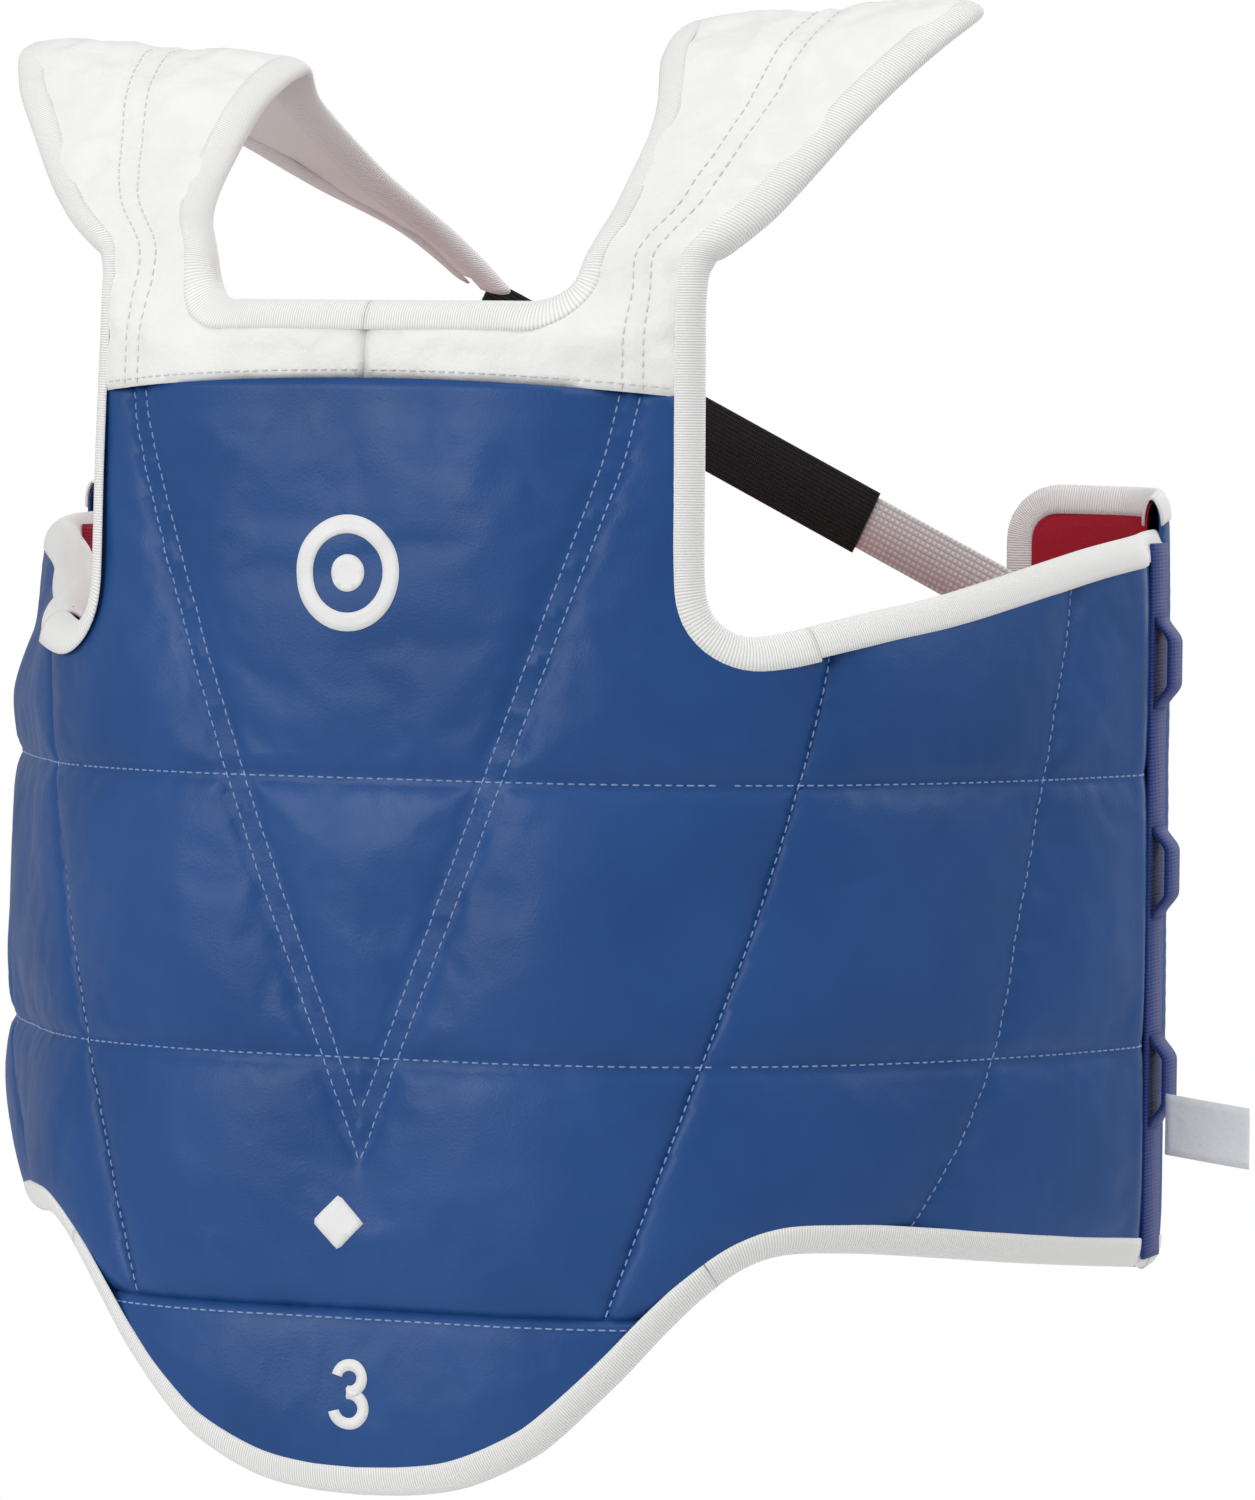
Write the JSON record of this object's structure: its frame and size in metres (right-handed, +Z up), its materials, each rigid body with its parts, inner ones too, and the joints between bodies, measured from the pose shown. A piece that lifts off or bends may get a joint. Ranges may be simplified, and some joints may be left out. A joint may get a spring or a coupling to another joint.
{
  "type": "chest protector",
  "caption": "Padded wrap-around torso guard with quilted trunk, side wings, shoulder straps, crossed back straps and a hinged lower flap.",
  "frame": {"origin": "on the wearer's torso axis, level with the lower tip of the flap, where the torso mount is", "axes": "+Z up along the torso, the front faces -Y, +X is the wearer's left"},
  "size_m": [0.5856, 0.3316, 0.638],
  "materials": {
    "blue_vinyl": "smooth PU-coated leather grain, semi-matt",
    "red_vinyl": "smooth PU-coated leather grain, semi-matt",
    "white_coated_fabric": "soft PU-coated fabric, lightly quilted",
    "white_binding": "ribbed woven binding tape",
    "foam": "closed-cell foam, hidden inside the covers",
    "blue_webbing": "ribbed polyester webbing",
    "red_webbing": "ribbed polyester webbing",
    "grey_webbing": "waffle-weave webbing",
    "black_elastic": "woven elastic",
    "white_print": "flat screen print",
    "label_satin": "woven satin label, no text"
  },
  "bodies": {
    "care_label": {"care_label": "label_satin"},
    "front": {"chest_emblem": "white_print", "front_cover": "blue_vinyl", "front_foam_core": "foam", "front_lining": "red_vinyl", "left_armhole_binding": "white_binding", "left_elastic_strap": "black_elastic", "left_shoulder_binding": "white_binding", "left_shoulder_cover": "white_coated_fabric", "left_shoulder_foam_core": "foam", "left_shoulder_lining": "white_coated_fabric", "left_waist_binding": "white_binding", "left_yoke_cover": "white_coated_fabric", "left_yoke_lining": "white_coated_fabric", "neck_binding": "white_binding", "right_armhole_binding": "white_binding", "right_elastic_strap": "black_elastic", "right_shoulder_binding": "white_binding", "right_shoulder_cover": "white_coated_fabric", "right_shoulder_foam_core": "foam", "right_shoulder_lining": "white_coated_fabric", "right_waist_binding": "white_binding", "right_yoke_cover": "white_coated_fabric", "right_yoke_lining": "white_coated_fabric", "waist_emblem": "white_print", "yoke_foam_core": "foam"},
    "left_wing": {"left_inner_lacing_loops": "red_webbing", "left_inner_lacing_webbing": "red_webbing", "left_outer_lacing_loops": "blue_webbing", "left_outer_lacing_webbing": "blue_webbing", "left_strap_tab": "grey_webbing", "left_wing_bottom_binding": "white_binding", "left_wing_cover": "blue_vinyl", "left_wing_foam_core": "foam", "left_wing_lining": "red_vinyl", "left_wing_top_binding": "white_binding"},
    "left_rear_flap": {"left_rear_flap_binding": "white_binding", "left_rear_flap_cover": "blue_vinyl", "left_rear_flap_foam_core": "foam", "left_rear_flap_lining": "red_vinyl"},
    "lower_flap": {"lower_flap_binding": "white_binding", "lower_flap_cover": "blue_vinyl", "lower_flap_foam_core": "foam", "lower_flap_lining": "red_vinyl", "size_number": "white_print"},
    "right_wing": {"right_inner_lacing_loops": "red_webbing", "right_inner_lacing_webbing": "red_webbing", "right_outer_lacing_loops": "blue_webbing", "right_outer_lacing_webbing": "blue_webbing", "right_strap_tab": "grey_webbing", "right_wing_bottom_binding": "white_binding", "right_wing_cover": "blue_vinyl", "right_wing_foam_core": "foam", "right_wing_lining": "red_vinyl", "right_wing_top_binding": "white_binding"},
    "right_rear_flap": {"right_rear_flap_binding": "white_binding", "right_rear_flap_cover": "blue_vinyl", "right_rear_flap_foam_core": "foam", "right_rear_flap_lining": "red_vinyl"}
  },
  "joints": [
    {"name": "left_wing_swing", "type": "hinge", "parent": "front", "child": "left_wing", "pos_m": [0.20666, -0.06051, 0.105], "axis": [-0.1265, -0.2969, -0.9465], "range_deg": [-14, 34], "deforming": ["right_elastic_strap"]},
    {"name": "left_rear_flap_fold", "type": "hinge", "parent": "left_wing", "child": "left_rear_flap", "pos_m": [0.25924, 0.13075, 0.25], "axis": [0, 0, -1], "range_deg": [-12, 40]},
    {"name": "right_wing_swing", "type": "hinge", "parent": "front", "child": "right_wing", "pos_m": [-0.20666, -0.06051, 0.105], "axis": [-0.1265, 0.2969, 0.9465], "range_deg": [-14, 34], "deforming": ["left_elastic_strap"]},
    {"name": "right_rear_flap_fold", "type": "hinge", "parent": "right_wing", "child": "right_rear_flap", "pos_m": [-0.25924, 0.13075, 0.25], "axis": [0, 0, 1], "range_deg": [-12, 40]},
    {"name": "lower_flap_fold", "type": "hinge", "parent": "front", "child": "lower_flap", "pos_m": [0, -0.1644, 0.0795], "axis": [-1, 0, 0], "range_deg": [-7, 30]},
    {"name": "care_label_turn", "type": "hinge", "parent": "left_wing", "child": "care_label", "pos_m": [0.26811, 0.10135, 0.155], "axis": [0, 0, 1], "range_deg": [-70, 20]}
  ]
}
